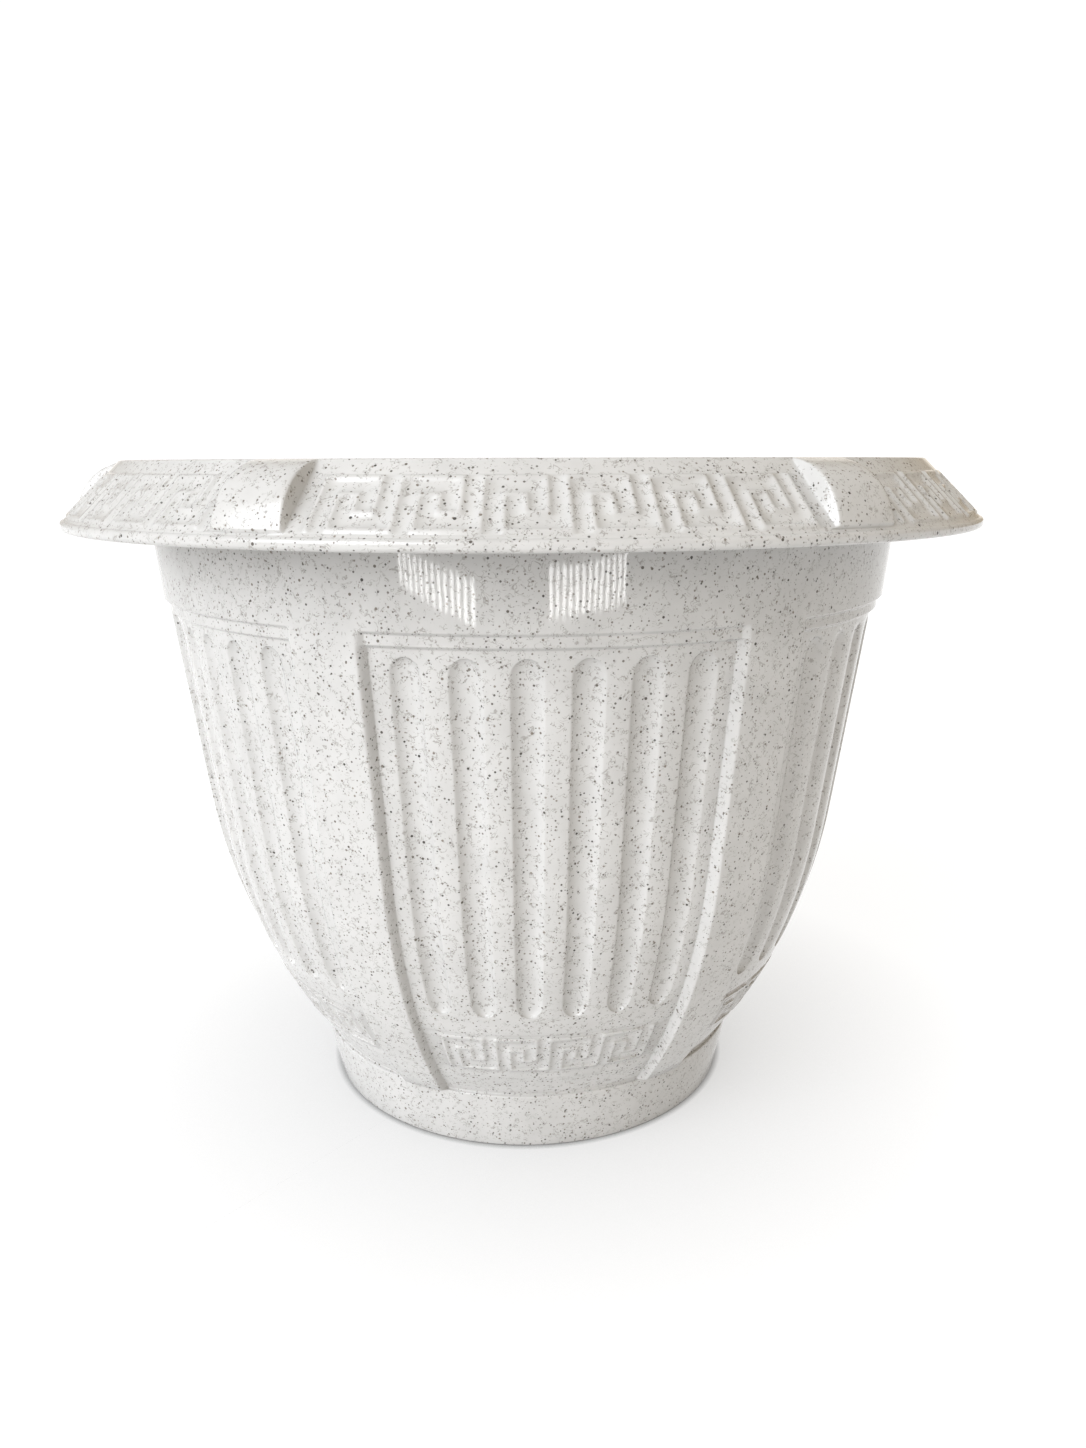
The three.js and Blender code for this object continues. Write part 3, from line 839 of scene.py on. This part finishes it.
def build_plug(number, centre):
    """A tapered shank, a flange that rests on the floor, and a knob on a narrow neck."""
    shank = PLUG_HOLE_RADIUS - PIECE_GAP
    flange = FLOOR_TOP + PIECE_GAP
    flange_top = flange + PLUG_FLANGE_THICKNESS
    neck_top = flange_top + PLUG_NECK_HEIGHT
    knob_top = neck_top + PLUG_KNOB_HEIGHT
    bottom = FLOOR_HEIGHT - PLUG_REACH
    outline = rounded([
        (PLUG_TIP_RADIUS, bottom, 0),
        (shank - PLUG_TAPER, bottom, 0.5),
        (shank, FLOOR_HEIGHT, 0.4),
        (shank, flange, 0.25),
        (PLUG_FLANGE_RADIUS, flange, 0.4),
        (PLUG_FLANGE_RADIUS, flange_top, 0.6),
        (PLUG_NECK_RADIUS, flange_top, 0.6),
        (PLUG_NECK_RADIUS, neck_top, 0.4),
        (PLUG_KNOB_RADIUS, neck_top, 0.4),
        (PLUG_KNOB_RADIUS, knob_top, 0.9),
        (PLUG_DIMPLE_RADIUS, knob_top, 0.3),
        (PLUG_DIMPLE_RADIUS - PLUG_DIMPLE_SLOPE, knob_top - PLUG_DIMPLE_DEPTH, 0.3),
        (PLUG_TIP_RADIUS, knob_top - PLUG_DIMPLE_DEPTH, 0),
    ])
    skin = Skin()
    rings = [skin.row(PLUG_COLUMNS, r, z) for r, z in outline]
    for (start, _), facing_up in ((rings[0], False), (rings[-1], True)):
        loop = list(range(start, start + len(PLUG_COLUMNS)))
        skin.faces.append(tuple(loop if facing_up else reversed(loop)))
    skin.points = [(x + centre[0], y + centre[1], z) for x, y, z in skin.points]
    return skin.mesh(f"rubber_plug_{number}")


# ---------- Materials ----------

# Places of the colour sockets of a mix node, which has sockets for other kinds of data too.
MIX_COLOUR_A = 6
MIX_COLOUR_B = 7
MIX_COLOUR_RESULT = 2


class Nodes:
    """A short way to write the nodes of a material or the world."""

    def __init__(self, owner, shader, coordinates="Object"):
        owner.use_nodes = True
        self.owner = owner
        self.tree = owner.node_tree
        self.shader = self.tree.nodes[shader]
        self.place = self.tree.nodes.new("ShaderNodeTexCoord").outputs[coordinates]

    def new(self, kind, inputs, **settings):
        node = self.tree.nodes.new(kind)
        for key, value in settings.items():
            setattr(node, key, value)
        for key, value in inputs.items():
            self.feed(node.inputs[key], value)
        return node

    def feed(self, socket, value):
        if isinstance(value, bpy.types.NodeSocket):
            self.tree.links.new(value, socket)
        else:
            socket.default_value = value

    def math(self, operation, a, b=0.0, c=0.0, clamp=False):
        inputs = {0: a, 1: b, 2: c}
        return self.new("ShaderNodeMath", inputs, operation=operation, use_clamp=clamp).outputs[0]

    def noise(self, size, detail=2.0, roughness=0.5, distortion=0.0, place=None):
        """Noise whose features are about size metres across."""
        inputs = {"Vector": place or self.place, "Scale": 1 / size, "Detail": detail}
        inputs |= {"Roughness": roughness, "Distortion": distortion}
        return self.new("ShaderNodeTexNoise", inputs).outputs["Fac"]

    def cells(self, size, place=None):
        """Scattered points about size metres apart: distance in metres, and a random colour."""
        node = self.new("ShaderNodeTexVoronoi", {"Vector": place or self.place, "Scale": 1 / size})
        return self.math("MULTIPLY", node.outputs["Distance"], size), node.outputs["Color"]

    def blend(self, share, a, b):
        """Colour a at share 0 and colour b at share 1."""
        node = self.new("ShaderNodeMix", {"Factor": share}, data_type="RGBA")
        self.feed(node.inputs[MIX_COLOUR_A], a)
        self.feed(node.inputs[MIX_COLOUR_B], b)
        return node.outputs[MIX_COLOUR_RESULT]

    def add(self, a, b):
        return self.new("ShaderNodeVectorMath", {0: a, 1: b}, operation="ADD").outputs[0]

    def shift(self, offset):
        """The coordinates moved along, so that layers don't share a pattern."""
        return self.add(self.place, offset)

    def bump(self, height, distance, strength=1.0):
        inputs = {"Height": height, "Distance": distance, "Strength": strength}
        return self.new("ShaderNodeBump", inputs).outputs["Normal"]

    def ramp(self, value, low, high, kind="LINEAR"):
        """0 at low and 1 at high, and no further on either side."""
        inputs = {0: value, 1: low, 2: high, 3: 0.0, 4: 1.0}
        return self.new("ShaderNodeMapRange", inputs, clamp=True, interpolation_type=kind).outputs[0]

    def towards(self, heading):
        """Cosine of the angle between a place seen as a direction, and another direction."""
        inputs = {0: self.place, 1: heading}
        return self.new("ShaderNodeVectorMath", inputs, operation="DOT_PRODUCT").outputs["Value"]


def new_material(name):
    return Nodes(bpy.data.materials.new(name), "Principled BSDF")


def specks(nodes, spacing, smallest, largest, offset):
    """Round specks of mixed size: a mask, and a random number for each speck."""
    distance, colour = nodes.cells(spacing, nodes.shift(offset))
    parts = nodes.new("ShaderNodeSeparateColor", {0: colour})
    radius = nodes.math("MULTIPLY_ADD", parts.outputs[0], largest - smallest, smallest)
    inside_speck = nodes.math("SUBTRACT", radius, distance)
    edge = 0.00008
    return nodes.ramp(inside_speck, -edge, edge), parts.outputs[1]


# Layers of specks: spacing, smallest and largest radius, offset and strength.
SPECK_LAYERS = [
    (0.0017, 0.00012, 0.00030, (0.1, 0.5, 0.3), 0.6),
    (0.0022, 0.00024, 0.00046, (0.4, 0.1, 0.9), 0.82),
    (0.0044, 0.00036, 0.00056, (0.8, 0.6, 0.2), 0.92),
]


def granite_plastic():
    """Glossy off-white with a faint cloud, short grey fibres and dark specks."""
    nodes = new_material("granite_plastic")
    cloud = nodes.noise(0.018, detail=4.0, roughness=0.6)
    cloud = nodes.ramp(cloud, 0.35, 0.65)
    colour = nodes.blend(cloud, (0.50, 0.493, 0.482, 1), (0.54, 0.533, 0.522, 1))
    # Faint fibres: thin level lines of a noise, kept only here and there.
    fibre = nodes.noise(0.0026, detail=1.0, distortion=1.4)
    fibre = nodes.math("ABSOLUTE", nodes.math("SUBTRACT", fibre, 0.5))
    fibre = nodes.ramp(fibre, 0.048, 0.018)
    patches = nodes.noise(0.0028, detail=1.0, place=nodes.shift((0.7, 0.2, 0.4)))
    fibre = nodes.math("MULTIPLY", fibre, nodes.ramp(patches, 0.5, 0.58))
    colour = nodes.blend(nodes.math("MULTIPLY", fibre, 0.55), colour, (0.225, 0.205, 0.185, 1))
    for spacing, smallest, largest, offset, strength in SPECK_LAYERS:
        mask, chance = specks(nodes, spacing, smallest, largest, offset)
        tint = nodes.blend(chance, (0.03, 0.026, 0.022, 1), (0.22, 0.19, 0.16, 1))
        colour = nodes.blend(nodes.math("MULTIPLY", mask, strength), colour, tint)
    nodes.feed(nodes.shader.inputs["Base Color"], colour)
    nodes.shader.inputs["Roughness"].default_value = 0.05
    ripple = nodes.noise(0.009, detail=2.0)
    nodes.feed(nodes.shader.inputs["Normal"], nodes.bump(ripple, 0.000025))
    return nodes.owner


def charcoal_plastic():
    nodes = new_material("charcoal_plastic")
    cloud = nodes.noise(0.02, detail=3.0)
    colour = nodes.blend(cloud, (0.030, 0.031, 0.033, 1), (0.050, 0.051, 0.053, 1))
    nodes.feed(nodes.shader.inputs["Base Color"], colour)
    rough = nodes.math("MULTIPLY_ADD", nodes.noise(0.012), 0.2, 0.36)
    nodes.feed(nodes.shader.inputs["Roughness"], rough)
    grain = nodes.noise(0.0007, detail=2.0)
    nodes.feed(nodes.shader.inputs["Normal"], nodes.bump(grain, 0.00004))
    return nodes.owner


def plug_rubber():
    nodes = new_material("plug_rubber")
    cloud = nodes.noise(0.008, detail=3.0)
    colour = nodes.blend(cloud, (0.085, 0.088, 0.092, 1), (0.12, 0.123, 0.128, 1))
    nodes.feed(nodes.shader.inputs["Base Color"], colour)
    rough = nodes.math("MULTIPLY_ADD", nodes.noise(0.004), 0.15, 0.62)
    nodes.feed(nodes.shader.inputs["Roughness"], rough)
    grain = nodes.noise(0.0005, detail=2.0)
    nodes.feed(nodes.shader.inputs["Normal"], nodes.bump(grain, 0.00003))
    return nodes.owner


FLOOR_GLOW = 0.835
# Painted shadow round the planter, made by dimming the floor's glow where ambient occlusion finds the
# planter near: (how near in metres, and the share lost where all is covered).
FLOOR_PAINTED_SHADOW = [(0.14, 0.4), (0.003, 0.95)]


def floor_finish():
    """White mostly by its own glow, so that the planter's shadow on it stays faint. The glow itself is
    dimmed near the planter by ambient occlusion, which is a painted shadow.
    """
    nodes = new_material("white_floor_painted_shadow")
    cloud = nodes.noise(0.4, detail=2.0)
    colour = nodes.blend(cloud, (0.205, 0.205, 0.205, 1), (0.22, 0.22, 0.22, 1))
    nodes.feed(nodes.shader.inputs["Base Color"], colour)
    nodes.shader.inputs["Roughness"].default_value = 0.8
    nodes.shader.inputs["Specular IOR Level"].default_value = 0.0
    nodes.shader.inputs["Emission Color"].default_value = (1, 1, 1, 1)
    glow = FLOOR_GLOW
    # Painted shadow: the glow is dimmed where ambient occlusion finds the planter near the floor.
    for reach, loss in FLOOR_PAINTED_SHADOW:
        open_sky = nodes.new("ShaderNodeAmbientOcclusion", {"Distance": reach}, samples=4)
        painted_shadow_factor = nodes.math("MULTIPLY_ADD", open_sky.outputs["AO"], loss, 1 - loss)
        glow = nodes.math("MULTIPLY", painted_shadow_factor, glow)
    nodes.feed(nodes.shader.inputs["Emission Strength"], glow)
    return nodes.owner


# ---------- Dressing the object ----------


def dress(piece, body, node, material):
    """Gives a piece its material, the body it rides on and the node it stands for."""
    piece.data.materials.append(material)
    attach(piece, body)
    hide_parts(node)


dress(build_shell(), "planter", "planter_shell", granite_plastic())
dress(build_grid(), "grid", "drainage_grid", charcoal_plastic())
rubber = plug_rubber()
for number, centre in enumerate(plug_places(), start=1):
    plug = build_plug(number, centre)
    dress(plug, f"plug_{number}", f"drain_plug_{number}", rubber)


# ---------- Floor, light and camera ----------


def add_floor():
    half = 30  # metres, so that its edge is out of sight
    data = bpy.data.meshes.new("floor")
    corners = [(-half, -half, 0), (half, -half, 0), (half, half, 0), (-half, half, 0)]
    data.from_pydata(corners, [], [(0, 1, 2, 3)])
    data.materials.append(floor_finish())
    floor = bpy.data.objects.new("floor", data)
    bpy.context.scene.collection.objects.link(floor)


# Soft lights round the planter: angle, elevation, half-width that is fully bright, half-width
# where the light has faded out, and colour.
SOFT_LIGHTS = [
    (-50, 24, 10, 32, (5.35, 5.55, 5.85)),
    (0, 90, 15, 75, (0.31, 0.35, 0.40)),
    (-12, 2, 12, 45, (0.72, 0.70, 0.65)),
    (174.7, 4, 22, 28, (0.42, 0.42, 0.42)),
]
LEFT_SIDE = (0.70, 0.68, 0.65, 1)
RIGHT_SIDE = (0.53, 0.445, 0.33, 1)
SIDES_BLEND = 0.6  # how far to either side the two blend into each other, as a sine
BACKGROUND = (1.05, 1.05, 1.05, 1)


def light_surroundings():
    """Bright and cool on the left, dim and warm on the right, and plain white to look at."""
    nodes = Nodes(bpy.data.worlds.new("studio"), "Background", "Generated")
    rightness = nodes.ramp(nodes.towards((1, 0, 0)), -SIDES_BLEND, SIDES_BLEND)
    light = nodes.blend(rightness, LEFT_SIDE, RIGHT_SIDE)
    for angle, elevation, bright, faded, colour in SOFT_LIGHTS:
        rise = math.radians(elevation)
        heading = (*polar(angle, math.cos(rise)), math.sin(rise))
        low, high = (math.cos(math.radians(half)) for half in (faded, bright))
        share = nodes.ramp(nodes.towards(heading), low, high, "SMOOTHSTEP")
        spot = nodes.new("ShaderNodeVectorMath", {0: colour, "Scale": share}, operation="SCALE")
        light = nodes.add(light, spot.outputs[0])
    seen = nodes.new("ShaderNodeLightPath", {}).outputs["Is Camera Ray"]
    nodes.feed(nodes.shader.inputs["Color"], nodes.blend(seen, light, BACKGROUND))
    bpy.context.scene.world = nodes.owner


# Two slatted windows in front of the planter, which show only in its gloss: left end, right
# end, sill and head.
WINDOWS = [(-560, -215, 14, 58), (26, 310, 32, 80)]
WINDOW_DISTANCE = 750
WINDOW_SLATS = 13
WINDOW_GAP_SHARE = 0.5
WINDOW_GLOW = 12


def add_windows():
    glow = Nodes(bpy.data.materials.new("window_glow"), "Principled BSDF")
    glow.shader.inputs["Base Color"].default_value = (0, 0, 0, 1)
    glow.shader.inputs["Emission Color"].default_value = (1, 1, 1, 1)
    glow.shader.inputs["Emission Strength"].default_value = WINDOW_GLOW
    points = []
    for left, right, sill, head in WINDOWS:
        pitch = (right - left) / WINDOW_SLATS
        for i in range(WINDOW_SLATS):
            start = left + i * pitch
            end = start + pitch * (1 - WINDOW_GAP_SHARE)
            corners = [(end, sill), (start, sill), (start, head), (end, head)]
            points += [(x * MM, -WINDOW_DISTANCE * MM, z * MM) for x, z in corners]
    data = bpy.data.meshes.new("windows")
    data.from_pydata(points, [], [range(i, i + 4) for i in range(0, len(points), 4)])
    data.materials.append(glow.owner)
    windows = bpy.data.objects.new("windows", data)
    windows.visible_camera = False
    windows.visible_diffuse = False
    windows.visible_shadow = False
    bpy.context.scene.collection.objects.link(windows)


# Where the photograph was taken from, as solved from its ellipses and outline.
PHOTO_HEIGHT = 1448
FOCAL_PIXELS = 1098
CAMERA_DISTANCE = 524.07
CAMERA_ANGLE = -4.135
CAMERA_HEIGHT = OVERALL_HEIGHT - 1.5
CAMERA_HEADING = -5.05
CAMERA_PITCH = 13.39
CAMERA_ROLL = -0.2


def add_camera():
    data = bpy.data.cameras.new("camera")
    data.sensor_fit = "VERTICAL"
    data.sensor_height = 36
    data.lens = data.sensor_height * FOCAL_PIXELS / PHOTO_HEIGHT
    data.clip_start = 0.01
    camera = bpy.data.objects.new("camera", data)
    x, y = polar(CAMERA_ANGLE, CAMERA_DISTANCE)
    turn = Matrix.Rotation(math.radians(CAMERA_HEADING), 4, "Z")
    tilt = Matrix.Rotation(math.radians(90 - CAMERA_PITCH), 4, "X")
    roll = Matrix.Rotation(math.radians(CAMERA_ROLL), 4, "Z")
    place = Matrix.Translation(Vector((x, y, CAMERA_HEIGHT)) * MM)
    camera.matrix_world = place @ turn @ tilt @ roll
    bpy.context.scene.collection.objects.link(camera)
    bpy.context.scene.camera = camera


add_floor()
light_surroundings()
add_windows()
add_camera()
bpy.context.scene.view_settings.view_transform = "Standard"
bpy.context.scene.view_settings.gamma = 0.85
